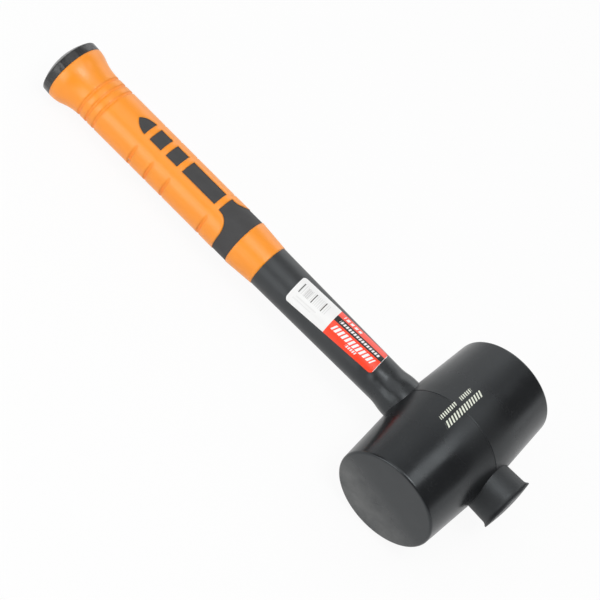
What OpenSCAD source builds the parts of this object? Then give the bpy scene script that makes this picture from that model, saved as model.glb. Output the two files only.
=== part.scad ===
// Rubber mallet with a two-shot grip, lying on its side.
// X runs along the handle with the head at +X, Y runs along the head, Z is up.
// The origin is on the ground under the middle of the overall length.

/* [Head] */
// Length of the head from face to face
head_len = 125.6; // [100:0.2:150]
// Diameter of the head at its parting line
head_mid_d = 80; // [70:0.5:95]
// Diameter of the head at the striking faces, before the edge is rounded
head_face_d = 72.6; // [62:0.2:80]
// Radius of the rounded edge round each striking face
head_edge_r = 1.8; // [1:0.1:8]
// Depth of the crease at the mould parting line
crease_depth = 0.35; // [0.1:0.05:1]
// Width of the crease at the mould parting line
crease_w = 1; // [0.4:0.1:3]

/* [Eye and tang] */
// Diameter of the tapered eye where the shaft goes into the head
eye_in_d = 30.8; // [26:0.1:34]
// Diameter of the tapered eye where the tang comes out of the head
eye_out_d = 35.5; // [30:0.1:40]
// Length of the stub between the head and the end of the foot flange
stub_len = 15.8; // [8:0.2:30]
// Diameter of the foot flange
flange_d = 39; // [36:0.2:46]
// Thickness of the foot flange at its rim
flange_t = 0.9; // [0.4:0.1:3]
// Length over which the stub flares out to the foot flange
flange_run = 3; // [1.5:0.1:6]
// Height of the crowned end of the foot
foot_crown = 1.5; // [0.5:0.1:4]
// Turn of the handle in the eye, from the top of the head towards the near face
handle_turn = 2.2; // [-10:0.2:10]

/* [Shaft] */
// Length of the bare shaft between the head and the collar
shaft_len = 120.6; // [90:0.2:160]
// Diameter of the shaft beside the collar
shaft_d = 30.7; // [28:0.1:33]
// Diameter of the neck, the thinnest place of the shaft
neck_d = 28; // [24:0.1:30]
// Length of the flare from the neck to the head
neck_flare_len = 14; // [6:0.5:25]

/* [Core] */
// Diameter of the fibreglass rod
core_d = 16; // [12:0.5:20]
// Plastic left between the end of the rod and the end of the foot flange
foot_wall = 10; // [5:0.5:20]

/* [Grip] */
// Length of the orange sleeve from the black band to the butt cap
sleeve_len = 147.4; // [130:0.2:180]
// Diameter of the grip beside the swell
grip_d = 34.6; // [32:0.1:40]
// Diameter of the grip where its flare begins
grip_end_d = 35.1; // [32:0.1:41]
// Diameter of the swell at the black band
swell_d = 34.8; // [33:0.1:42]
// Length over which the grip grows to the swell
swell_run = 20; // [8:0.5:30]
// Diameter of the butt
butt_d = 44; // [38:0.1:52]
// Length of the flare from the grip to the butt
flare_len = 23.3; // [15:0.1:35]
// Share of the flare that curves outwards before it rounds over
flare_share = 0.65; // [0.4:0.05:0.8]
// Lean of the ring grooves and of the butt against the handle's axis
butt_lean = 3.2; // [0:0.1:5]
// Direction that leans towards the head, from the top of the grip towards the far face
butt_lean_turn = 58; // [-180:1:180]
// Wall of the soft sleeve on the straight grip
sleeve_wall = 3; // [2:0.1:4]
// Height that the soft rubber stands above the black plastic beside it
rubber_proud = 0.3; // [0.1:0.05:0.6]
// Width of the black band at its narrowest
band_w = 12.2; // [6:0.2:25]
// Length of the tapered collar
collar_len = 22; // [12:0.5:35]

/* [Windows] */
// Width of the windows across the grip
window_w = 11.7; // [8:0.1:14]
// Length of the pointed window
arrow_len = 10.9; // [8:0.1:20]
// Length of each square window
square_len = 10.4; // [6:0.1:16]
// Length of the long window
slot_len = 29.9; // [15:0.1:40]
// Bridge of soft rubber between two windows
window_gap = 4.7; // [3:0.1:8]
// Length of the saddle that the black band sends up between the side lobes
saddle_len = 11.3; // [10.8:0.1:16]
// Width of the saddle at its square end
saddle_w = 13; // [10:0.1:15]
// Radius of the side lobes of the sleeve
lobe_r = 10.5; // [7:0.1:10.6]
// Length by which the lobes' arcs run under the edge of the band
lobe_lead = 0.3; // [0.2:0.05:0.6]

/* [Grooves] */
// Number of ring grooves in front of the flare
ring_count = 3; // [1:1:4]
// Spacing of the ring grooves
ring_pitch = 6.6; // [5:0.05:10]
// Width of a ring groove
ring_w = 2.4; // [1.6:0.1:4]
// Depth of a ring groove
ring_depth = 0.75; // [0.3:0.05:1.2]
// Depth of the finger grooves at the sides of the grip
finger_depth = 1.1; // [0.3:0.05:1.3]
// Radius of the finger groove's section
finger_r = 1.4; // [0.8:0.1:3]
// Shift of each finger groove towards the other side, which makes it fade out
finger_shift = 4.2; // [1:0.1:5]

/* [Butt cap] */
// Length of the straight side of the butt cap
cap_side = 5.6; // [3:0.1:10]
// Height of the domed end of the butt cap
cap_dome = 6.7; // [2:0.1:9]
// Radius of the rounded edge between the side and the dome
cap_edge_r = 0.8; // [0.3:0.1:1.5]
// Length of the spigot that plugs the end of the jacket
spigot_len = 12; // [6:0.5:25]

/* [Label] */
// Length of the label along the shaft
label_len = 73.4; // [40:0.2:75]
// Width straight across the wrapped label
label_w = 19.1; // [10:0.1:22]
// Thickness of the label
label_t = 0.2; // [0.1:0.05:0.4]
// Radius of the label's corners
label_corner_r = 2.4; // [0.5:0.1:5]
// Bare shaft between the collar and the label
label_gap = 23.9; // [5:0.1:30]
// Turn of the label's middle from the top of the grip towards the near face
label_turn = 11; // [-40:1:40]
// Skew of the label, which brings its head end towards the far face
label_skew = 3.3; // [-6:0.1:6]

/* [Fits] */
// Gap left between mouldings that are bonded or pressed together
bond_gap = 0.05; // [0.02:0.01:0.15]

/* [Hidden] */
$fn = 96;

// Radii
head_r = head_mid_d / 2;
face_r = head_face_d / 2;
eye_in_r = eye_in_d / 2;
eye_out_r = eye_out_d / 2;
flange_r = flange_d / 2;
shaft_r = shaft_d / 2;
neck_r = neck_d / 2;
core_r = core_d / 2;
grip_r = grip_d / 2;
grip_end_r = grip_end_d / 2;
swell_r = swell_d / 2;
butt_r = butt_d / 2;
under_r = grip_r - sleeve_wall;
cap_edge_centre_r = butt_r - cap_edge_r;
// The dome is part of a ball that is tangent to the rounded edge
dome_r = (cap_edge_centre_r * cap_edge_centre_r + cap_dome * cap_dome - cap_edge_r * cap_edge_r)
    / (2 * (cap_dome - cap_edge_r));

// Places along the handle, from the head's axis, growing towards the foot
neck_end = -head_r;
neck_start = neck_end - neck_flare_len;
collar_front = neck_end - shaft_len;
collar_back = collar_front - collar_len;
band_back = collar_back - band_w;
cap_face = band_back - sleeve_len;
// The dome of the leaning cap reaches furthest beside its own middle
dome_lead = dome_r * (1 - cos(butt_lean));
butt_end = cap_face - (cap_side + cap_dome) * cos(butt_lean) - dome_lead;
// The sleeve and the jacket are drawn beyond the leaning cut that ends them
uncut_end = cap_face - 2 * butt_r * tan(butt_lean) - bond_gap;
flange_end = head_r + stub_len;
foot_end = flange_end + foot_crown;
core_end = flange_end - foot_wall;
core_start = cap_face + spigot_len;
flare_start = cap_face + flare_len;
swell_start = band_back - swell_run;
saddle_end = band_back - saddle_len;
slot_end = saddle_end - window_gap;
square_b_end = slot_end - slot_len - window_gap;
square_a_end = square_b_end - square_len - window_gap;
arrow_base = square_a_end - square_len - window_gap;
label_start = collar_front + label_gap;

// Place of the head's axis, so that the origin is on the ground under the middle of the length
crest_r = head_r - (head_r - face_r) * crease_w / head_len;
head_x = -(butt_end + foot_end) / 2;
head_z = crest_r;

arc_steps = 10;
through = 2 * butt_d;

// Points of an S of two arcs, level at both ends, as [radius, place along the handle].
// The least turn lets an S without any rise stay a straight line.
least_turn = 0.01;
function s_curve(r0, x0, r1, x1, share = 0.5) =
    let (rise = r1 - r0, run = x1 - x0,
         turn = max(2 * atan(abs(rise / run)), least_turn),
         reach = abs(run) / sin(turn),
         up = sign(rise), on = sign(run),
         first = share * reach, last = (1 - share) * reach)
    concat(
        [for (i = [0 : arc_steps]) let (a = turn * i / arc_steps)
            [r0 + up * first * (1 - cos(a)), x0 + on * first * sin(a)]],
        [for (i = [arc_steps - 1 : -1 : 0]) let (a = turn * i / arc_steps)
            [r1 - up * last * (1 - cos(a)), x1 - on * last * sin(a)]]);

// Points of an arc from the angle a0 to the angle a1
function arc_points(cr, cx, r, a0, a1) =
    [for (i = [0 : arc_steps]) let (a = a0 + (a1 - a0) * i / arc_steps)
        [cr + r * cos(a), cx + r * sin(a)]];

// Radius of the ball, or of the round groove, of which a given half width and rise are part
function ball_radius(r, rise) = (r * r + rise * rise) / (2 * abs(rise));

// Points of a shallow crown, from its rim to its middle on the axis
function crown_points(r, x, rise) =
    let (ball_r = ball_radius(r, rise), half_turn = asin(r / ball_r))
    [for (i = [0 : arc_steps]) let (a = half_turn * (1 - i / arc_steps))
        [ball_r * sin(a), x + rise - sign(rise) * ball_r * (1 - cos(a))]];

// Radius of the slow taper of the grip between its swell and its flare
function grip_radius(x) =
    grip_r + (grip_end_r - grip_r) * max(0, swell_start - x) / (swell_start - flare_start);

// Outline of the grip from the band to the end that is cut off, lowered by a given drop
function grip_outline(drop = 0) =
    [for (p = concat(
        s_curve(swell_r, band_back, grip_r, swell_start),
        s_curve(grip_end_r, flare_start, butt_r, cap_face, flare_share),
        [[butt_r, uncut_end]]))
        [p[0] - drop, p[1]]];

// Radius of the tapered eye at a place along the handle
function eye_radius(x) = eye_in_r + (eye_out_r - eye_in_r) * (x + head_r) / (2 * head_r);

// Outline of the bare shaft from the collar to the head, raised by a given height
function shaft_outline(height = 0) =
    [for (p = concat([[shaft_r, collar_front]], s_curve(neck_r, neck_start, eye_in_r, neck_end)))
        [p[0] + height, p[1]]];

// Sets what is modelled round the head's axis in its place on the ground
module in_place() {
    translate([head_x, 0, head_z]) children();
}

// Sets a piece of the handle in its place, turned as the handle is in the eye
module on_handle() {
    in_place() rotate([handle_turn, 0, 0]) children();
}

// Turns a profile of [radius, place] points round the handle
module turned(points) {
    rotate([0, 90, 0]) rotate_extrude() polygon(points);
}

// Square window, seen from above, from its end towards the foot
module window(end, length, grow) {
    translate([end - length - grow, -window_w / 2 - grow])
        square([length + 2 * grow, window_w + 2 * grow]);
}

// Pointed window whose two sides are arcs that meet over the handle's axis
module arrow_window(grow) {
    half = window_w / 2;
    side_r = (arrow_len * arrow_len + half * half) / (2 * half);
    intersection() {
        translate([arrow_base, side_r - half]) circle(side_r + grow, $fn = 180);
        translate([arrow_base, half - side_r]) circle(side_r + grow, $fn = 180);
        translate([arrow_base - 2 * arrow_len, -window_w])
            square([2 * arrow_len + grow, 2 * window_w]);
    }
}

// Saddle of the black band between the side lobes, seen from above
module saddle(grow) {
    half = saddle_w / 2;
    centre_x = band_back - lobe_r + lobe_lead;
    lobe = [for (i = [0 : 2 * arc_steps]) let (a = 90 * i / (2 * arc_steps))
        [centre_x + (lobe_r - grow) * sin(a), half + lobe_r - (lobe_r - grow) * cos(a)]];
    side = concat([[saddle_end - grow, half + grow]], lobe);
    other = [for (i = [len(side) - 1 : -1 : 0]) [side[i][0], -side[i][1]]];
    polygon(concat(side, other));
}

// All the black areas of the grip, seen from above
module black_areas(grow) {
    arrow_window(grow);
    window(square_a_end, square_len, grow);
    window(square_b_end, square_len, grow);
    window(slot_end, slot_len, grow);
    saddle(grow);
}

// Leans what is modelled round the handle's axis as the butt leans
module leaning(x) {
    translate([x, 0, 0]) rotate([-butt_lean_turn, 0, 0]) rotate([0, butt_lean, 0]) children();
}

// All that lies behind the leaning end of the sleeve and the jacket
module behind_sleeve() {
    leaning(cap_face + bond_gap) translate([-through, -through / 2, -through / 2]) cube(through);
}

// Leaning groove right round the grip
module ring_groove(x) {
    ring_r = ball_radius(ring_w / 2, ring_depth);
    leaning(x) rotate([0, 90, 0]) rotate_extrude()
        translate([grip_radius(x) - ring_depth + ring_r, 0]) circle(ring_r, $fn = 32);
}

// Finger groove that is deepest at one side of the grip and fades out above and below
module finger_groove(x, side) {
    bottom_r = grip_radius(x) - finger_depth + finger_shift;
    // The seam of the turned shape lies in the half that is cut away
    seam = -90 * side;
    intersection() {
        translate([x, -side * finger_shift, 0]) rotate([0, 90, 0]) rotate([0, 0, seam])
            rotate_extrude() translate([bottom_r + finger_r, 0]) circle(finger_r, $fn = 32);
        translate([x - through / 2, (side - 1) / 2 * through, -through / 2]) cube(through);
    }
}

module rubber_head() {
    half = head_len / 2;
    edge_turn = atan((head_r - face_r) / half);
    // The rounded edge is tangent to the taper and to the face
    edge_centre_r = face_r - head_edge_r / cos(edge_turn) + head_edge_r * tan(edge_turn);
    side = concat(
        [[0, half]],
        arc_points(edge_centre_r, half - head_edge_r, head_edge_r, 90, edge_turn),
        [[crest_r, crease_w / 2], [head_r - crease_depth, 0]]);
    other = [for (i = [len(side) - 2 : -1 : 0]) [side[i][0], -side[i][1]]];
    // The seams of the two turned shapes are kept off the parting line and off each other
    head_seam = 45;
    eye_seam = 30;
    eye_reach = 1.5 * head_r;
    color("#2b2c2e") in_place()
        difference() {
            rotate([-90, 0, 0]) rotate([0, 0, head_seam]) rotate_extrude($fn = 180)
                polygon(concat(side, other));
            translate([-eye_reach, 0, 0]) rotate([0, 90, 0]) rotate([0, 0, eye_seam])
                cylinder(r1 = eye_radius(-eye_reach) + bond_gap,
                         r2 = eye_radius(eye_reach) + bond_gap, h = 2 * eye_reach);
        }
}

module fibreglass_core() {
    color("#d8cfa4") on_handle()
        translate([core_start, 0, 0]) rotate([0, 90, 0]) cylinder(r = core_r, h = core_end - core_start);
}

module handle_jacket() {
    flange_start = flange_end - flange_t - flange_run;
    stub_r = eye_radius(flange_start);
    flange_rise = flange_r - stub_r;
    sweep_r = (flange_run * flange_run + flange_rise * flange_rise) / (2 * flange_rise);
    sweep_turn = asin(flange_run / sweep_r);
    shaft_profile = concat(
        [[0, uncut_end], [under_r, uncut_end], [under_r, collar_front]],
        shaft_outline(),
        arc_points(stub_r + sweep_r, flange_start, sweep_r, 180, 180 - sweep_turn),
        crown_points(flange_r, flange_end, foot_crown));
    color("#38393b") on_handle()
        difference() {
            union() {
                turned(shaft_profile);
                intersection() {
                    turned(concat(
                        [[0, collar_back], [swell_r - rubber_proud, collar_back]],
                        grip_outline(rubber_proud),
                        [[0, uncut_end]]));
                    translate([0, 0, -through / 2]) linear_extrude(through) {
                        black_areas(0);
                        translate([band_back, -through / 2]) square([band_w, through]);
                    }
                }
            }
            translate([uncut_end, 0, 0]) rotate([0, 90, 0])
                cylinder(r = core_r + bond_gap, h = core_end - uncut_end);
            behind_sleeve();
        }
}

module grip_sleeve() {
    groove_places = [
        saddle_end - window_gap / 2,
        square_b_end + window_gap / 2,
        square_a_end + window_gap / 2,
        arrow_base + window_gap / 2];
    color("#ff9a3c") on_handle()
        difference() {
            turned(concat(
                [[under_r + bond_gap, band_back]],
                grip_outline(),
                [[under_r + bond_gap, uncut_end]]));
            translate([0, 0, -through / 2]) linear_extrude(through) black_areas(bond_gap);
            for (x = groove_places, side = [-1, 1]) finger_groove(x, side);
            for (k = [0 : ring_count - 1]) ring_groove(flare_start + k * ring_pitch);
            behind_sleeve();
        }
}

module grip_collar() {
    front_r = shaft_r + rubber_proud;
    soft = 0.4;
    color("#ff9a3c") on_handle()
        turned([
            [under_r + bond_gap, collar_back],
            [swell_r - soft, collar_back],
            [swell_r, collar_back + soft],
            [front_r, collar_front - soft],
            [front_r - soft / 2, collar_front],
            [under_r + bond_gap, collar_front]]);
}

module butt_cap() {
    spigot_root = cap_face - cap_side / 2;
    dome_x = dome_r - cap_dome - cap_side;
    edge_turn = atan2(dome_r - cap_dome, cap_edge_centre_r);
    color("#2e2f31") on_handle() {
        translate([spigot_root, 0, 0]) rotate([0, 90, 0])
            cylinder(r = core_r, h = core_start - spigot_root);
        leaning(cap_face) turned(concat(
            [[0, 0], [butt_r, 0]],
            arc_points(cap_edge_centre_r, -cap_side, cap_edge_r, 0, -edge_turn),
            arc_points(0, dome_x, dome_r, -edge_turn, -90)));
    }
}

module shaft_label() {
    inside = shaft_outline(bond_gap);
    outside = shaft_outline(bond_gap + label_t);
    flat_len = label_len - 2 * label_corner_r;
    flat_w = label_w - 2 * label_corner_r;
    color("#f4f4f2") on_handle()
        intersection() {
            turned(concat(inside, [for (i = [len(outside) - 1 : -1 : 0]) outside[i]]));
            rotate([label_turn, 0, 0]) translate([label_start + label_len / 2, 0, 0])
                rotate([0, 0, label_skew]) linear_extrude(through) {
                    square([flat_len, label_w], center = true);
                    square([label_len, flat_w], center = true);
                    for (x = [-flat_len / 2, flat_len / 2], y = [-flat_w / 2, flat_w / 2])
                        translate([x, y]) circle(label_corner_r, $fn = 32);
                }
        }
}

rubber_head();
fibreglass_core();
handle_jacket();
grip_sleeve();
grip_collar();
butt_cap();
shaft_label();
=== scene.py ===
# %% [markdown]
# # A rubber mallet, dressed in Blender
#
# The real mallet is a black rubber head driven onto a fibreglass handle. The handle has a black
# plastic jacket, an orange soft grip, a butt cap and a sticker. All the pieces are already solids at
# their real size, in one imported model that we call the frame. This lesson gives every surface its
# finish, adds the small marks that moulding leaves, and lights it all like a plain studio photograph.
#
# Units are metres, +Z is up, +X runs along the handle from the butt to the head, and Y runs along
# the head from face to face.

# %% Load the frame
import math

import bmesh
import bpy
from mathutils import Matrix, Vector


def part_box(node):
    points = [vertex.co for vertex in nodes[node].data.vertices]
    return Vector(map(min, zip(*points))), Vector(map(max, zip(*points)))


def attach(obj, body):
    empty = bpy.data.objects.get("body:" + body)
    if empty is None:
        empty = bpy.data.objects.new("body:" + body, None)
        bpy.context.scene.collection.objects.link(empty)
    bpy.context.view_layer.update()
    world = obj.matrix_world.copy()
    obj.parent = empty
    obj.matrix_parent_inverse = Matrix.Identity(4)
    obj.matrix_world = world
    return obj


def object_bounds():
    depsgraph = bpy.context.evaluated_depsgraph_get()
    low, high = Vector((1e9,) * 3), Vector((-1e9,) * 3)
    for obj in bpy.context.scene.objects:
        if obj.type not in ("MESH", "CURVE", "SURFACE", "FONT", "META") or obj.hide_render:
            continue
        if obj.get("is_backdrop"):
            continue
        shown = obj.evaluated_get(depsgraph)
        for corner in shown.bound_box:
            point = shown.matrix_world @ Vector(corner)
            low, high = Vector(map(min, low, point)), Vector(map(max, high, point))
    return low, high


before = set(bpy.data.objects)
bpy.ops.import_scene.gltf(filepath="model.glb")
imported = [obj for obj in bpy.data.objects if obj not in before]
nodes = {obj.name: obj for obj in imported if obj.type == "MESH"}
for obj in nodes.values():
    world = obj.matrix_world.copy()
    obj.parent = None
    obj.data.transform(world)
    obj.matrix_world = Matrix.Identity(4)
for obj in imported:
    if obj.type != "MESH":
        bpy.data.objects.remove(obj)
cad_low, cad_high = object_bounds()
print("nodes:", sorted(nodes))

# %% Measure the head and the butt
head_low, head_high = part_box("rubber_head")
head_axis = (head_low + head_high) / 2
head_r = (head_high.z - head_low.z) / 2
head_half = (head_high.y - head_low.y) / 2
cap_low, cap_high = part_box("butt_cap")
butt_r = (cap_high.z - cap_low.z) / 2
print("head radius and half length in mm:", round(1000 * head_r, 2), round(1000 * head_half, 2))

# %% [markdown]
# ## The camera
#
# A product photograph like this one is taken from a little over a metre with a long lens, from above
# and in front of the near striking face. The camera is also rolled, so that the handle runs across
# the picture from corner to corner. We say where it looks from with an azimuth, an elevation and a
# roll about a point on the handle, because those are easier to change than a matrix of numbers.

# %% Set the camera
aim_point = Vector((0.02063, -0.00941, 0.05206))
camera_azimuth = math.radians(13.438)
camera_elevation = math.radians(54.900)
camera_roll = math.radians(33.962)
camera_distance = 1.28668
camera_lens_mm = 121.43


def direction(azimuth, elevation):
    """Unit vector towards a place round the object, where azimuth 0 is in front, at -Y."""
    level = math.cos(elevation)
    return Vector((math.sin(azimuth) * level, -math.cos(azimuth) * level, math.sin(elevation)))


camera_back = direction(camera_azimuth, camera_elevation)
level_right = Vector((math.cos(camera_azimuth), math.sin(camera_azimuth), 0))
level_up = camera_back.cross(level_right)
camera_right = math.cos(camera_roll) * level_right + math.sin(camera_roll) * level_up
camera_up = camera_back.cross(camera_right)

camera_data = bpy.data.cameras.new("studio_camera")
camera_data.lens = camera_lens_mm
camera = bpy.data.objects.new("studio_camera", camera_data)
bpy.context.scene.collection.objects.link(camera)
turn = Matrix((camera_right, camera_up, camera_back)).transposed()
camera.matrix_world = Matrix.Translation(aim_point + camera_distance * camera_back) @ turn.to_4x4()
bpy.context.scene.camera = camera
bpy.context.scene.view_settings.view_transform = "Standard"
print("camera at", [round(v, 3) for v in camera.location])

# %% [markdown]
# ## The floor
#
# Laid on a table, the mallet rests on the side of its head and on its butt cap, so its handle slopes.
# The frame keeps the handle level, and we lean the table instead: it touches the head's lowest line
# and the edge where the cap's side turns into its dome.
#
# The picture has a pure white ground, but more light would bleach the mallet. So the floor mixes two
# shaders by the kind of ray that meets it. The camera sees nearly all glow, reflections see part
# glow and part shading, and all other light meets plain diffuse white. The part that isn't glow
# keeps the mallet's soft shadow.

# %% Lay the floor under the head and the butt
dome_height = 0.0061
floor_radius = 20
floor_sides = 64

butt_rest_x = cap_low.x + dome_height
reach = head_axis.x - butt_rest_x
floor_lean = math.asin((head_r - butt_r) / reach)
floor_normal = Vector((math.sin(floor_lean), 0, math.cos(floor_lean)))
floor_touch = head_axis - head_r * floor_normal

floor_mesh = bmesh.new()
bmesh.ops.create_circle(floor_mesh, cap_ends=True, segments=floor_sides, radius=floor_radius)
lean = Matrix.Translation(floor_touch) @ Matrix.Rotation(floor_lean, 4, "Y")
bmesh.ops.transform(floor_mesh, matrix=lean, verts=floor_mesh.verts)
floor_data = bpy.data.meshes.new("studio_floor")
floor_mesh.to_mesh(floor_data)
floor_mesh.free()
floor = bpy.data.objects.new("studio_floor", floor_data)
bpy.context.scene.collection.objects.link(floor)
floor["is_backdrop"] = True
print("floor leans by", round(math.degrees(floor_lean), 2), "degrees")


# %% Helpers that place and join shader nodes
def fill(tree, socket, value):
    """Links a socket into another one, or writes a plain value there."""
    if isinstance(value, bpy.types.NodeSocket):
        tree.links.new(value, socket)
    else:
        socket.default_value = value


def place(tree, kind, settings=None, **inputs):
    """Adds a node, sets its properties, and fills or links its inputs by name."""
    node = tree.nodes.new(kind)
    for name, value in (settings or {}).items():
        setattr(node, name, value)
    for name, value in inputs.items():
        fill(tree, node.inputs[name.replace("_", " ")], value)
    return node


def work_out(tree, operation, *values, clamp=False):
    """One step of arithmetic on sockets or plain numbers."""
    node = place(tree, "ShaderNodeMath", {"operation": operation, "use_clamp": clamp})
    for socket, value in zip(node.inputs, values):
        fill(tree, socket, value)
    return node.outputs["Value"]


def ramp(tree, value, low, high, bottom=0.0, top=1.0):
    """A smooth step of a value, from bottom below low to top above high."""
    node = place(
        tree, "ShaderNodeMapRange", {"interpolation_type": "SMOOTHSTEP"},
        Value=value, From_Min=low, From_Max=high, To_Min=bottom, To_Max=top,
    )
    return node.outputs["Result"]


def new_material(name):
    """An empty node material and its output node."""
    material = bpy.data.materials.new(name)
    material.use_nodes = True
    material.node_tree.nodes.clear()
    output = material.node_tree.nodes.new("ShaderNodeOutputMaterial")
    return material, material.node_tree, output


# %% Make the floor white for the camera and diffuse for the light
WHITE = (1.0, 1.0, 1.0, 1.0)
floor_white = (0.82, 0.82, 0.82, 1)
floor_glow = 0.93
mirrored_glow = 0.6

white_floor, tree, output = new_material("white_floor")
diffuse = place(tree, "ShaderNodeBsdfDiffuse", Color=floor_white)
glow = place(tree, "ShaderNodeEmission", Color=WHITE, Strength=1.0)
path = place(tree, "ShaderNodeLightPath").outputs
mirrored = work_out(tree, "MAXIMUM", path["Is Glossy Ray"], path["Is Transmission Ray"])
mirrored = work_out(tree, "MULTIPLY", mirrored, mirrored_glow)
seen = work_out(tree, "MULTIPLY", path["Is Camera Ray"], floor_glow)
mix = place(tree, "ShaderNodeMixShader", Fac=work_out(tree, "MAXIMUM", seen, mirrored))
tree.links.new(diffuse.outputs["BSDF"], mix.inputs[1])
tree.links.new(glow.outputs["Emission"], mix.inputs[2])
tree.links.new(mix.outputs["Shader"], output.inputs["Surface"])
floor_data.materials.append(white_floor)
print("floor glows", floor_glow, "for the camera and", mirrored_glow, "in reflections")

# %% [markdown]
# ## The light
#
# Black rubber has hardly any colour of its own, so what we see on it is the room. Reading the tones
# of the barrel backwards gives that room. There is a white horizon all round, brighter behind, and
# a bright sweep behind on the left that falls off to a dark gap on the right. Big soft lamps hang
# overhead, in front on the left and behind, one hangs high behind the head, and a small bright one
# at the top right draws the streak along the barrel. So the world is a gradient, and the lamps are
# area lights that show in reflections but not to the camera.

# %% Make the world bright at the horizon and behind on the left
horizon_front = 0.82
horizon_back = 1.08
back_start = 0.3
back_full = 0.8
horizon_top = math.sin(math.radians(4))
horizon_end = math.sin(math.radians(18))
sweep_centre = Vector((-0.5, 0.75, 0.35)).normalized()
sweep_light = 0.9
sweep_edge = 0.4
sweep_falloff = 3.0
room_light = 0.14

world = bpy.data.worlds.new("light_tent")
bpy.context.scene.world = world
world.use_nodes = True
tree = world.node_tree
tree.nodes.clear()
look = place(tree, "ShaderNodeTexCoord").outputs["Generated"]
split = place(tree, "ShaderNodeSeparateXYZ", Vector=look).outputs
towards = place(tree, "ShaderNodeVectorMath", {"operation": "DOT_PRODUCT"})
fill(tree, towards.inputs[0], look)
fill(tree, towards.inputs[1], sweep_centre)
rise = place(
    tree, "ShaderNodeMapRange", Value=towards.outputs["Value"], From_Min=sweep_edge, From_Max=1.0
)
sweep = work_out(tree, "POWER", rise.outputs["Result"], sweep_falloff)
room = work_out(tree, "MULTIPLY_ADD", sweep, sweep_light, room_light)
horizon_light = ramp(tree, split["Y"], back_start, back_full, horizon_front, horizon_back)
horizon = ramp(tree, split["Z"], horizon_top, horizon_end, horizon_light, 0.0)
room = work_out(tree, "MAXIMUM", room, horizon)
sky = place(tree, "ShaderNodeBackground", Color=WHITE, Strength=room)
place(tree, "ShaderNodeOutputWorld", Surface=sky.outputs["Background"])
print("world:", world.name)


# %% Hang the softboxes
def softbox(name, centre, facing, width, height, radiance):
    """A rectangular lamp of a given brightness that shows in reflections but not to the camera."""
    lamp = bpy.data.lights.new(name, "AREA")
    lamp.shape = "RECTANGLE"
    lamp.size = width
    lamp.size_y = height
    lamp.energy = radiance * math.pi * width * height
    holder = bpy.data.objects.new(name, lamp)
    turned = (-Vector(facing)).to_track_quat("Z", "Y").to_matrix().to_4x4()
    holder.matrix_world = Matrix.Translation(centre) @ turned
    holder.visible_camera = False
    bpy.context.scene.collection.objects.link(holder)


softbox(
    "overhead_softbox", centre=(-0.45, -0.30, 1.30), facing=(0, 0, -1),
    width=1.7, height=1.2, radiance=1.15,
)
softbox(
    "top_right_softbox", centre=(0.36, -0.26, 1.25), facing=(-0.2, 0.1, -1),
    width=0.5, height=0.45, radiance=8.0,
)
softbox(
    "front_softbox", centre=(-0.50, -1.00, 0.50), facing=(0, 1, 0),
    width=0.9, height=0.7, radiance=2.7,
)
softbox(
    "back_softbox", centre=(-0.15, 1.30, 0.50), facing=(0, -1, -0.1),
    width=1.0, height=0.8, radiance=1.05,
)
softbox(
    "high_back_softbox", centre=(0.41, 0.60, 1.25), facing=(-0.2, -0.45, -0.9),
    width=0.5, height=0.4, radiance=2.5,
)

# %% [markdown]
# ## Shared effects
#
# Several of the finishes have the same small faults: the grain that a mould leaves, a colour that
# drifts a little, a surface that isn't quite true, and dust. Each of these is built once as a node
# group with named sockets, and every material sets its own sizes in it. Sizes are in millimetres,
# and the groups read Object coordinates, which on these objects are places in the frame.


# %% Helpers for groups and masks
def new_group(name, inputs, outputs):
    """An empty node group, with the sockets that enter it and the sockets that leave it."""
    kinds = {1: "NodeSocketFloat", 3: "NodeSocketVector", 4: "NodeSocketColor"}
    group = bpy.data.node_groups.new(name, "ShaderNodeTree")
    for socket_name, start in inputs.items():
        kind = kinds[len(start) if isinstance(start, tuple) else 1]
        socket = group.interface.new_socket(socket_name, in_out="INPUT", socket_type=kind)
        socket.default_value = start
    for socket_name, size in outputs.items():
        group.interface.new_socket(socket_name, in_out="OUTPUT", socket_type=kinds[size])
    entry = group.nodes.new("NodeGroupInput").outputs
    leave = group.nodes.new("NodeGroupOutput").inputs
    return group, entry, leave


def use_group(tree, group, **inputs):
    """Places a node group in a material and gives the socket that it puts out."""
    return place(tree, "ShaderNodeGroup", {"node_tree": group}, **inputs).outputs[0]


def noise(tree, vector, size_mm, detail=2.0, roughness=0.5):
    """Soft noise between 0 and 1, with lumps about size_mm across."""
    scale = work_out(tree, "DIVIDE", 1000.0, size_mm)
    node = place(
        tree, "ShaderNodeTexNoise", Vector=vector, Scale=scale, Detail=detail, Roughness=roughness
    )
    return node.outputs["Fac"]


def product(tree, *values):
    """All the values multiplied together."""
    total = values[0]
    for value in values[1:]:
        total = work_out(tree, "MULTIPLY", total, value)
    return total


def blend_colours(tree, mask, first, second):
    """The first colour where the mask is 0, and the second where it is 1."""
    node = place(tree, "ShaderNodeMix", {"data_type": "RGBA"})
    for number, value in ((0, mask), (6, first), (7, second)):
        fill(tree, node.inputs[number], value)
    return node.outputs[2]


# %% Grain and slow waves for the bump
NO_PLACE = (0.0, 0.0, 0.0)
broad_ratio = 3.3
broad_share = 0.6

moulded_grain, entry, leave = new_group(
    "moulded_grain", {"Vector": NO_PLACE, "Size": 0.6}, {"Height": 1}
)
fine = noise(moulded_grain, entry["Vector"], entry["Size"], detail=1.0)
broad_size = work_out(moulded_grain, "MULTIPLY", entry["Size"], broad_ratio)
broad = noise(moulded_grain, entry["Vector"], broad_size)
grain = work_out(moulded_grain, "MULTIPLY_ADD", broad, broad_share, fine)
moulded_grain.links.new(grain, leave["Height"])

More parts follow.
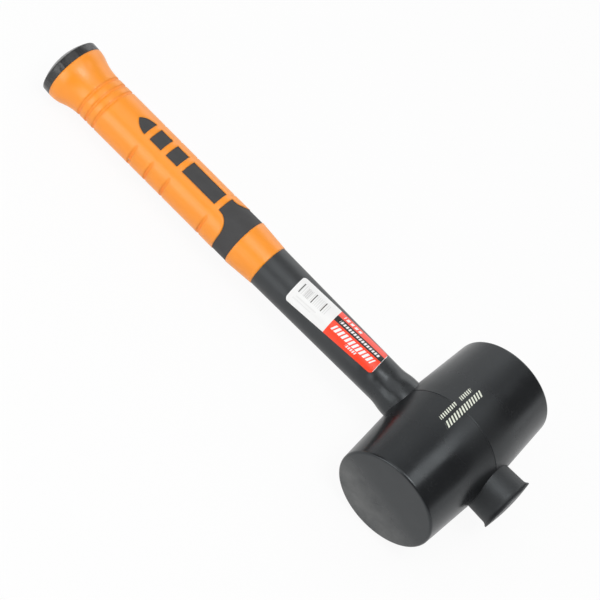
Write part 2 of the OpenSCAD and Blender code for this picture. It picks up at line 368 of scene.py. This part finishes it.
slow_waves, entry, leave = new_group(
    "slow_waves", {"Vector": NO_PLACE, "Size": 12.0}, {"Height": 1}
)
swell = noise(slow_waves, entry["Vector"], entry["Size"], detail=0.6, roughness=0.4)
slow_waves.links.new(swell, leave["Height"])

# %% Drift and dust for the colour
BLACK = (0.0, 0.0, 0.0, 1.0)
patch_mm = 38.0
speck_mm = 0.9

tone_drift, entry, leave = new_group(
    "tone_drift", {"Color": BLACK, "Vector": NO_PLACE, "Size": 20.0, "Spread": 0.1}, {"Color": 4}
)
lumps = noise(tone_drift, entry["Vector"], entry["Size"], detail=3.0, roughness=0.55)
lift = work_out(tone_drift, "MULTIPLY_ADD", lumps, 2.0, -1.0)
factor = work_out(tone_drift, "MULTIPLY_ADD", lift, entry["Spread"], 1.0)
drifted = place(
    tone_drift, "ShaderNodeVectorMath", {"operation": "SCALE"}, Vector=entry["Color"], Scale=factor
)
tone_drift.links.new(drifted.outputs["Vector"], leave["Color"])

dust_film, entry, leave = new_group("dust_film", {"Vector": NO_PLACE, "Amount": 0.3}, {"Mask": 1})
clouds = noise(dust_film, entry["Vector"], patch_mm, detail=3.0)
grit = noise(dust_film, entry["Vector"], speck_mm, detail=1.0)
patches = ramp(dust_film, clouds, low=0.42, high=0.72)
specks = ramp(dust_film, grit, low=0.58, high=0.78)
dust = product(dust_film, patches, specks, entry["Amount"])
dust_film.links.new(dust, leave["Mask"])

# %% [markdown]
# The sticker and the head carry printing. Here it is a plain pattern of slanted bars, in the places
# and at the scale that printing has on such a mallet. One group draws a row of bars inside a window:
# it folds the distance along the row into repeats, and keeps the first part of each.

# %% Rows of printed bars
printed_bars, entry, leave = new_group(
    "printed_bars",
    {"Along": 0.0, "Across": 0.0, "Pitch": 2.0, "Share": 0.5, "Slant": 0.0,
     "Start": 0.0, "End": 10.0, "Low": 0.0, "High": 3.0},
    {"Mask": 1},
)
leaning = work_out(printed_bars, "MULTIPLY_ADD", entry["Across"], entry["Slant"], entry["Along"])
repeat = work_out(printed_bars, "FRACT", work_out(printed_bars, "DIVIDE", leaning, entry["Pitch"]))
bar = product(
    printed_bars,
    work_out(printed_bars, "LESS_THAN", repeat, entry["Share"]),
    work_out(printed_bars, "GREATER_THAN", leaning, entry["Start"]),
    work_out(printed_bars, "LESS_THAN", leaning, entry["End"]),
    work_out(printed_bars, "GREATER_THAN", entry["Across"], entry["Low"]),
    work_out(printed_bars, "LESS_THAN", entry["Across"], entry["High"]),
)
printed_bars.links.new(bar, leave["Mask"])
print("effects:", [group.name for group in bpy.data.node_groups])

# %% [markdown]
# Every finish below takes the same steps: it reads where it is, mixes a colour, a roughness and a
# height, and ends in one Principled shader. The helpers keep those steps short. Real mouldings have
# no knife edges, so a bump can start from a Bevel node, which rounds the edges in the shading alone
# and leaves the solid's mesh as it is.

# %% Helpers that start and close a material
MM = 0.001
dust_grey = (0.075, 0.075, 0.072, 1)
bevel_samples = 8


def place_in_frame(tree):
    """The Object coordinates, and the same split into X, Y and Z."""
    spot = place(tree, "ShaderNodeTexCoord").outputs["Object"]
    split = place(tree, "ShaderNodeSeparateXYZ", Vector=spot).outputs
    return spot, split["X"], split["Y"], split["Z"]


def stretched(tree, spot, scale):
    """Object coordinates scaled along each axis, to draw out a pattern."""
    return place(tree, "ShaderNodeMapping", Vector=spot, Scale=scale).outputs["Vector"]


def relief(tree, grain, grain_mm, waves, wave_mm):
    """A height in millimetres, of fine grain on slow waves."""
    return work_out(tree, "MULTIPLY_ADD", grain, grain_mm, work_out(tree, "MULTIPLY", waves, wave_mm))


def uneven(tree, spot, lump_mm, least, spread):
    """A roughness that drifts up from its least value, in lumps about lump_mm across."""
    return work_out(tree, "MULTIPLY_ADD", noise(tree, spot, lump_mm, detail=3.0), spread, least)


def dusty(tree, spot, colour, amount):
    """A colour with a thin film of dust on it."""
    film = use_group(tree, dust_film, Vector=spot, Amount=amount)
    return blend_colours(tree, film, colour, dust_grey)


def bumped(tree, height_mm, edge_mm=0.0):
    """A normal from a height in millimetres, over edges that are rounded where edge_mm is given."""
    bump = place(tree, "ShaderNodeBump", Distance=MM, Height=height_mm)
    if edge_mm:
        rounded = place(tree, "ShaderNodeBevel", {"samples": bevel_samples}, Radius=edge_mm * MM)
        tree.links.new(rounded.outputs["Normal"], bump.inputs["Normal"])
    return bump.outputs["Normal"]


def close(tree, output, **inputs):
    """Ends a material in a Principled shader with these inputs."""
    shader = place(tree, "ShaderNodeBsdfPrincipled", **inputs)
    tree.links.new(shader.outputs["BSDF"], output.inputs["Surface"])


def dress(node, material):
    """Gives a CAD node's object its finish."""
    slots = nodes[node].data.materials
    for i in range(len(slots)):
        slots[i] = material
    print(node, "wears", material.name)


# %% [markdown]
# ## Black head rubber
#
# The head is compression moulded: a satin black rubber with a faint grain, long soft waves that
# break up the highlights along the barrel, and a little pale dust. The flash is buffed off along the
# parting line, so the barrel is duller there. Its gloss is slightly cool, which a tint of the
# specular light gives. Its faces are painted a paler grey. Part of that is the bloom of old rubber,
# in random patches. Part is a painted reflection of the lit table, which rises towards their lower
# edge.
#
# The print is cream ink on top of the barrel: one large row, and a small row in two groups. We find a
# place on the barrel from its angle round the head's axis, so the print follows the curve.

# %% Give the head its grain, waves and dust
rubber_black = (0.0082, 0.0086, 0.0096, 1)
along_barrel = (1.0, 0.35, 1.0)

head_rubber, tree, output = new_material("head_rubber")
spot, x, y, z = place_in_frame(tree)
waves = use_group(tree, slow_waves, Vector=stretched(tree, spot, along_barrel), Size=13.0)
grain = use_group(tree, moulded_grain, Vector=spot, Size=0.55)
height = relief(tree, grain, grain_mm=0.010, waves=waves, wave_mm=0.20)
colour = use_group(tree, tone_drift, Color=rubber_black, Vector=spot, Size=22.0, Spread=0.30)
colour = dusty(tree, spot, colour, amount=0.30)

# %% Let the faces bloom, with a painted reflection towards their lower edge
bloom_and_reflection_grey = (0.10, 0.10, 0.097, 1)
bloom_and_reflection_strength = 1.5
reflection_out = -0.31
reflection_up = -0.95
face_depth = 0.1 * MM

out = work_out(tree, "SUBTRACT", x, head_axis.x)
up = work_out(tree, "SUBTRACT", z, head_axis.z)
from_middle = work_out(tree, "ABSOLUTE", y)
on_face = work_out(tree, "GREATER_THAN", from_middle, head_half - face_depth)
# The grey on the faces is partly bloom, in the noise's random patches, and partly a painted
# reflection that rises towards the lower edge, where the faces mirror the lit table.
low_side = work_out(tree, "MULTIPLY", out, reflection_out / head_r)
low_side = work_out(tree, "MULTIPLY_ADD", up, reflection_up / head_r, low_side)
reflection_fade = ramp(tree, low_side, low=-0.25, high=0.6)
bloom_and_reflection = product(tree, on_face, reflection_fade, noise(tree, spot, size_mm=12.0, detail=3.0), bloom_and_reflection_strength)
colour = blend_colours(tree, bloom_and_reflection, colour, bloom_and_reflection_grey)

# %% Print the top of the barrel
ink_cream = (0.72, 0.75, 0.64, 1)
large_row = {"Pitch": 2.6, "Share": 0.52, "Slant": 0.5, "Low": -7.4, "High": -3.0}
small_row = {"Pitch": 1.9, "Share": 0.5, "Slant": 0.3, "Low": -12.8, "High": -9.9}
head_rows = (
    (large_row, -19.5, 17.0),
    (small_row, -18.5, -2.3),
    (small_row, 2.2, 13.5),
)

around = work_out(tree, "ARCTAN2", out, up)
arc_mm = work_out(tree, "MULTIPLY", around, 1000 * head_r)
along_mm = work_out(tree, "MULTIPLY", y, 1000.0)
for row_sizes, row_start, row_end in head_rows:
    ink = use_group(
        tree, printed_bars, Along=along_mm, Across=arc_mm, Start=row_start, End=row_end, **row_sizes
    )
    colour = blend_colours(tree, ink, colour, ink_cream)

# %% Buff the parting line and close the head's material
cool_gloss = (0.93, 1.0, 1.04, 1)
buffed_rougher = 0.16
buffed_half = 4 * MM
buffed_end = 34 * MM

satin = uneven(tree, spot, lump_mm=9.0, least=0.19, spread=0.10)
buffed = ramp(tree, from_middle, buffed_half, buffed_end, buffed_rougher, 0.0)
satin = work_out(tree, "ADD", satin, buffed)
close(
    tree, output, Base_Color=colour, Roughness=satin, IOR=1.55, Specular_Tint=cool_gloss,
    Normal=bumped(tree, height),
)
dress("rubber_head", head_rubber)

# %% [markdown]
# ## Black handle plastic
#
# The jacket is one moulding, but it shows several finishes: the bare shaft is satin, and the pads and
# the band in the grip are rougher and paler. The change hides under the orange collar, so a mask on X
# is enough. Near the head the wall sinks unevenly as it cools. That makes wavy highlights on the
# neck, which is also glossier than the shaft. From the neck on, the black is painted darker, as
# painted shade from the head, and the stub beyond the head gets the same darker black. Beyond the
# head the stub is rougher and calmer, and the end of the foot is smoother than the stub.

# %% Mask the parts of the jacket
collar_low, collar_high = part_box("grip_collar")
collar_middle = (collar_low.x + collar_high.x) / 2
neck_start = head_axis.x - 0.092
neck_full = head_axis.x - 0.059
neck_least = 0.15
crown_height = 1.5 * MM
foot_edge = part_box("handle_jacket")[1].x - crown_height

handle_plastic, tree, output = new_material("handle_plastic")
spot, x, _, _ = place_in_frame(tree)
pads = work_out(tree, "LESS_THAN", x, collar_middle)
near_head = ramp(tree, x, neck_start, neck_full, neck_least, 1.0)
stub = work_out(tree, "GREATER_THAN", x, head_axis.x)
foot = work_out(tree, "GREATER_THAN", x, foot_edge)
print("pads end at x =", round(collar_middle, 4), "and the foot starts at x =", round(foot_edge, 4))

# %% Make the handle plastic
shaft_black = (0.031, 0.0315, 0.0325, 1)
pad_black = (0.046, 0.0435, 0.0435, 1)
shaded_neck_black = (0.0165, 0.0170, 0.0180, 1)
neck_wave_mm = 0.7
stub_wave_change = -0.5
handle_grain_mm = 0.018
roughness_changes = ((pads, 0.27), (near_head, -0.12), (stub, 0.20), (foot, -0.10))

waves = use_group(tree, slow_waves, Vector=spot, Size=9.0)
wave_mm = work_out(tree, "MULTIPLY_ADD", stub, stub_wave_change, neck_wave_mm)
grain = use_group(tree, moulded_grain, Vector=spot, Size=0.7)
height = relief(tree, grain, handle_grain_mm, work_out(tree, "MULTIPLY", waves, near_head), wave_mm)
# Painted shade: from the neck on, the stub included, the black is darker and stands in for the head's
# shade.
colour = blend_colours(tree, near_head, shaft_black, shaded_neck_black)
colour = blend_colours(tree, pads, colour, pad_black)
colour = use_group(tree, tone_drift, Color=colour, Vector=spot, Size=7.0, Spread=0.16)
colour = dusty(tree, spot, colour, amount=0.18)
satin = uneven(tree, spot, lump_mm=6.0, least=0.36, spread=0.10)
for mask, change in roughness_changes:
    satin = work_out(tree, "MULTIPLY_ADD", mask, change, satin)
close(
    tree, output, Base_Color=colour, Roughness=satin, Specular_Tint=cool_gloss,
    Normal=bumped(tree, height),
)
dress("handle_jacket", handle_plastic)

# %% [markdown]
# ## Orange grip rubber
#
# Soft grip rubber is satin and evenly coloured. A fine grain and a small drift of the tone keep it
# from looking like paint. Its grooves are cut in the solid with sharp shoulders, and the mould's are
# soft, so the edges are rounded in the shading.
#
# Down in the grooves the rubber isn't rubbed smooth by hands, so it is rougher, and its colour is
# painted deeper there as painted shade. The grooves could be masked by their places, but an Ambient
# Occlusion node finds them wherever they are: it asks how much of a point's near surroundings its own
# mesh hides. The gate mark gets the same rubber, a little paler, so the finish is a function of its
# colour.

# %% Make the orange rubber
groove_reach = 3 * MM
groove_samples = 8
groove_gain = 3.0
groove_shade_tint = (0.98, 0.84, 0.7)
groove_rougher = 0.35
orange_edge_mm = 2.0
orange_base = (0.97, 0.308, 0.014, 1)


def orange_finish(name, base):
    """Satin soft-touch rubber, rougher in its grooves, where painted shade also deepens its colour.
    """
    material, tree, output = new_material(name)
    spot = place_in_frame(tree)[0]
    grain = use_group(tree, moulded_grain, Vector=spot, Size=0.8)
    waves = use_group(tree, slow_waves, Vector=spot, Size=16.0)
    height = relief(tree, grain, grain_mm=0.02, waves=waves, wave_mm=0.10)
    openness = place(
        tree, "ShaderNodeAmbientOcclusion", {"samples": groove_samples, "only_local": True},
        Distance=groove_reach,
    )
    # Painted shade: the less open a point is, as in a groove, the deeper its colour. The same mask
    # also makes it rougher.
    hidden = work_out(tree, "SUBTRACT", 1.0, openness.outputs["AO"])
    groove_shade_mask = work_out(tree, "MULTIPLY", hidden, groove_gain, clamp=True)
    shaded_orange = tuple(part * tint for part, tint in zip(base, groove_shade_tint)) + (1,)
    colour = use_group(tree, tone_drift, Color=base, Vector=spot, Size=18.0, Spread=0.05)
    colour = blend_colours(tree, groove_shade_mask, colour, shaded_orange)
    satin = uneven(tree, spot, lump_mm=5.0, least=0.275, spread=0.12)
    satin = work_out(tree, "MULTIPLY_ADD", groove_shade_mask, groove_rougher, satin)
    close(
        tree, output, Base_Color=colour, Roughness=satin, Specular_IOR_Level=0.62,
        Normal=bumped(tree, height, orange_edge_mm),
    )
    return material


grip_orange = orange_finish("grip_orange", orange_base)
dress("grip_sleeve", grip_orange)
dress("grip_collar", grip_orange)

# %% [markdown]
# ## Black butt cap
#
# The cap is a small glossy moulding that gets knocked about. Its side is lumpy, which breaks its
# highlights into patches, and its domed end is calmer. So the height of the waves is itself a ramp
# along X, and the sharp rim is rounded in the shading.

# %% Make the butt cap plastic
cap_black = (0.024, 0.024, 0.025, 1)
cap_grain_mm = 0.010
dome_wave_mm = 0.14
side_wave_mm = 0.45
calm_end = butt_rest_x - 2 * MM
lumpy_start = butt_rest_x + 1 * MM
cap_edge_mm = 1.0

cap_plastic, tree, output = new_material("cap_plastic")
spot, x, _, _ = place_in_frame(tree)
grain = use_group(tree, moulded_grain, Vector=spot, Size=0.6)
waves = use_group(tree, slow_waves, Vector=spot, Size=3.2)
wave_mm = ramp(tree, x, calm_end, lumpy_start, dome_wave_mm, side_wave_mm)
height = relief(tree, grain, cap_grain_mm, waves, wave_mm)
colour = use_group(tree, tone_drift, Color=cap_black, Vector=spot, Size=9.0, Spread=0.2)
colour = dusty(tree, spot, colour, amount=0.3)
satin = uneven(tree, spot, lump_mm=4.0, least=0.19, spread=0.14)
close(
    tree, output, Base_Color=colour, Roughness=satin, Normal=bumped(tree, height, cap_edge_mm)
)
dress("butt_cap", cap_plastic)

# %% [markdown]
# ## Glass fibre and the sticker
#
# The rod inside the jacket is hidden, but it is a real piece, so it has a real finish:
# straw-coloured resin with fibres drawn along it.
#
# The sticker is glossy film with a white field, a red one with a dark stripe, and a thin white margin
# at its end. It lies a little askew. So we unroll the shaft into millimetres along and around it, and
# turn those two by the sticker's own angle before drawing anything.

# %% Make the glass fibre
straw = (0.62, 0.55, 0.30, 1)
fibre_pale = (0.82, 0.78, 0.58, 1)
along_rod = (0.02, 1.0, 1.0)
strand_mm = 0.04

glass_fibre, tree, output = new_material("glass_fibre")
spot = place_in_frame(tree)[0]
strands = noise(tree, stretched(tree, spot, along_rod), size_mm=0.5, detail=3.0)
height = work_out(tree, "MULTIPLY", strands, strand_mm)
colour = blend_colours(tree, strands, straw, fibre_pale)
close(tree, output, Base_Color=colour, Roughness=0.4, Normal=bumped(tree, height))
dress("fibreglass_core", glass_fibre)

# %% Unroll the shaft under the sticker
label_low, label_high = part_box("shaft_label")
label_middle = (label_low.x + label_high.x) / 2
label_turn = math.radians(13.2)
label_skew = math.radians(3.3)
label_r_mm = 14.75

label_film, tree, output = new_material("label_film")
spot, x, y, z = place_in_frame(tree)
rise = work_out(tree, "SUBTRACT", z, head_axis.z)
angle = work_out(tree, "ARCTAN2", work_out(tree, "MULTIPLY", y, -1.0), rise)
arc = work_out(tree, "MULTIPLY", work_out(tree, "SUBTRACT", angle, label_turn), label_r_mm)
length = work_out(tree, "MULTIPLY", work_out(tree, "SUBTRACT", x, label_middle), 1000.0)
arc_along = work_out(tree, "MULTIPLY", arc, -math.sin(label_skew))
arc_across = work_out(tree, "MULTIPLY", arc, math.cos(label_skew))
along = work_out(tree, "MULTIPLY_ADD", length, math.cos(label_skew), arc_along)
across = work_out(tree, "MULTIPLY_ADD", length, math.sin(label_skew), arc_across)
print("sticker's middle is at x =", round(label_middle, 4))

# %% Colour the fields of the sticker
film_white = (0.865, 0.865, 0.86, 1)
film_red = (1.0, 0.052, 0.012, 1)
film_pale_red = (0.95, 0.085, 0.055, 1)
film_black = (0.02, 0.02, 0.02, 1)
field_edge = -4.1
margin_start = 36.45
stripe_low = -4.9
stripe_high = -0.4

below_stripe = work_out(tree, "LESS_THAN", across, stripe_low)
stripe = product(
    tree,
    work_out(tree, "GREATER_THAN", across, stripe_low),
    work_out(tree, "LESS_THAN", across, stripe_high),
)
red_field = work_out(tree, "GREATER_THAN", along, field_edge)
margin = work_out(tree, "GREATER_THAN", along, margin_start)
red = blend_colours(tree, below_stripe, film_red, film_pale_red)
red = blend_colours(tree, stripe, red, film_black)
colour = blend_colours(tree, red_field, film_white, red)
colour = blend_colours(tree, margin, colour, film_white)

# %% Print the sticker
size_names = ("Pitch", "Share", "Slant", "Start", "End", "Low", "High")
white_rows = (
    (3.0, 0.64, 0.45, 0.5, 34.0, 1.2, 5.4),
    (1.7, 0.60, 0.3, 14.5, 23.0, 6.1, 7.9),
    (2.2, 0.66, 0.3, -1.0, 32.5, -3.7, -1.6),
    (3.5, 0.62, 0.3, -2.0, 12.5, -8.7, -6.3),
)
faint_rows = (
    (0.16, (1.4, 0.35, 0.0, -33.5, -10.0, -5.8, 1.6)),
    (0.35, (1.3, 0.40, 0.0, -29.0, -25.2, -5.0, 1.6)),
    (0.12, (0.9, 0.70, 0.0, -32.0, -15.5, 3.9, 4.7)),
    (0.12, (0.9, 0.70, 0.0, -33.5, -18.0, 5.9, 6.7)),
)
rule_starts = (-32.9, -22.6, -14.4)
rule_width = 0.6
rule_low = -5.8
rule_high = 1.6
one_bar_pitch = 50.0


def print_row(colour, ink, strength, sizes):
    """Adds one row of bars, with its sizes in the order of size_names."""
    row = use_group(tree, printed_bars, Along=along, Across=across, **dict(zip(size_names, sizes)))
    return blend_colours(tree, work_out(tree, "MULTIPLY", row, strength), colour, ink)


for sizes in white_rows:
    colour = print_row(colour, film_white, 1.0, sizes)
for strength, sizes in faint_rows:
    colour = print_row(colour, film_black, strength, sizes)
for start in rule_starts:
    rule = (one_bar_pitch, 1.0, 0.0, start, start + rule_width, rule_low, rule_high)
    colour = print_row(colour, film_black, 1.0, rule)
print("rows on the sticker:", len(white_rows) + len(faint_rows) + len(rule_starts))

# %% Close the sticker's material
ripple_mm = 0.05

gloss = uneven(tree, spot, lump_mm=3.0, least=0.24, spread=0.12)
ripple = use_group(tree, slow_waves, Vector=spot, Size=7.0)
height = work_out(tree, "MULTIPLY", ripple, ripple_mm)
close(tree, output, Base_Color=colour, Roughness=gloss, Normal=bumped(tree, height))
dress("shaft_label", label_film)

# %% [markdown]
# ## The gate mark
#
# The orange rubber enters its mould through a gate at the side of the grip, in one of the finger
# grooves, and the gate leaves a small pale button there. It could be a dot of colour, but a real one
# stands proud and catches the light, so we spin its outline. A ray from outside finds the rubber's
# surface to seat it on.

# %% Find the place and spin the mark
gate_x = -0.1249
gate_angle = math.radians(99)
gate_r = 1.1 * MM
gate_rise = 0.45 * MM
gate_sink = 0.30 * MM
gate_steps = 32
ray_start = 0.06
weld = 0.001 * MM

outward = Vector((0, -math.sin(gate_angle), math.cos(gate_angle)))
above = Vector((gate_x, 0, head_axis.z)) + ray_start * outward
found, seat, normal, _ = nodes["grip_sleeve"].ray_cast(above, -outward)

gate_mesh = bmesh.new()
# The middle is dished, the rim is round, and the foot sinks into the rubber.
outline = [(0, gate_rise * 0.55), (gate_r * 0.35, gate_rise * 0.6), (gate_r * 0.55, gate_rise),
           (gate_r * 0.85, gate_rise * 0.8), (gate_r, -gate_sink), (0, -gate_sink)]
corners = [gate_mesh.verts.new((radius, 0, level)) for radius, level in outline]
edges = [gate_mesh.edges.new(pair) for pair in zip(corners, corners[1:])]
bmesh.ops.spin(
    gate_mesh, geom=corners + edges, cent=(0, 0, 0), axis=(0, 0, 1), angle=math.tau,
    steps=gate_steps, use_merge=True,
)
bmesh.ops.remove_doubles(gate_mesh, verts=gate_mesh.verts, dist=weld)
bmesh.ops.recalc_face_normals(gate_mesh, faces=gate_mesh.faces)
seated = Matrix.Translation(seat) @ normal.to_track_quat("Z", "Y").to_matrix().to_4x4()
bmesh.ops.transform(gate_mesh, matrix=seated, verts=gate_mesh.verts)
for side in gate_mesh.faces:
    side.smooth = True
print("gate mark seated:", found, [round(1000 * v, 2) for v in seat])

# %% Add the mark to the grip
gate_pale = (0.95, 0.52, 0.20, 1)

gate_data = bpy.data.meshes.new("gate_mark")
gate_mesh.to_mesh(gate_data)
gate_mesh.free()
gate_mark = bpy.data.objects.new("gate_mark", gate_data)
bpy.context.scene.collection.objects.link(gate_mark)
gate_data.materials.append(orange_finish("gate_orange", gate_pale))
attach(gate_mark, "root")
print("gate mark has", len(gate_data.polygons), "faces")

# %% Gather the sizes and finish
visual_low, visual_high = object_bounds()
sizes = {
    "cad": [list(cad_low), list(cad_high)],
    "visual": [list(visual_low), list(visual_high)],
}
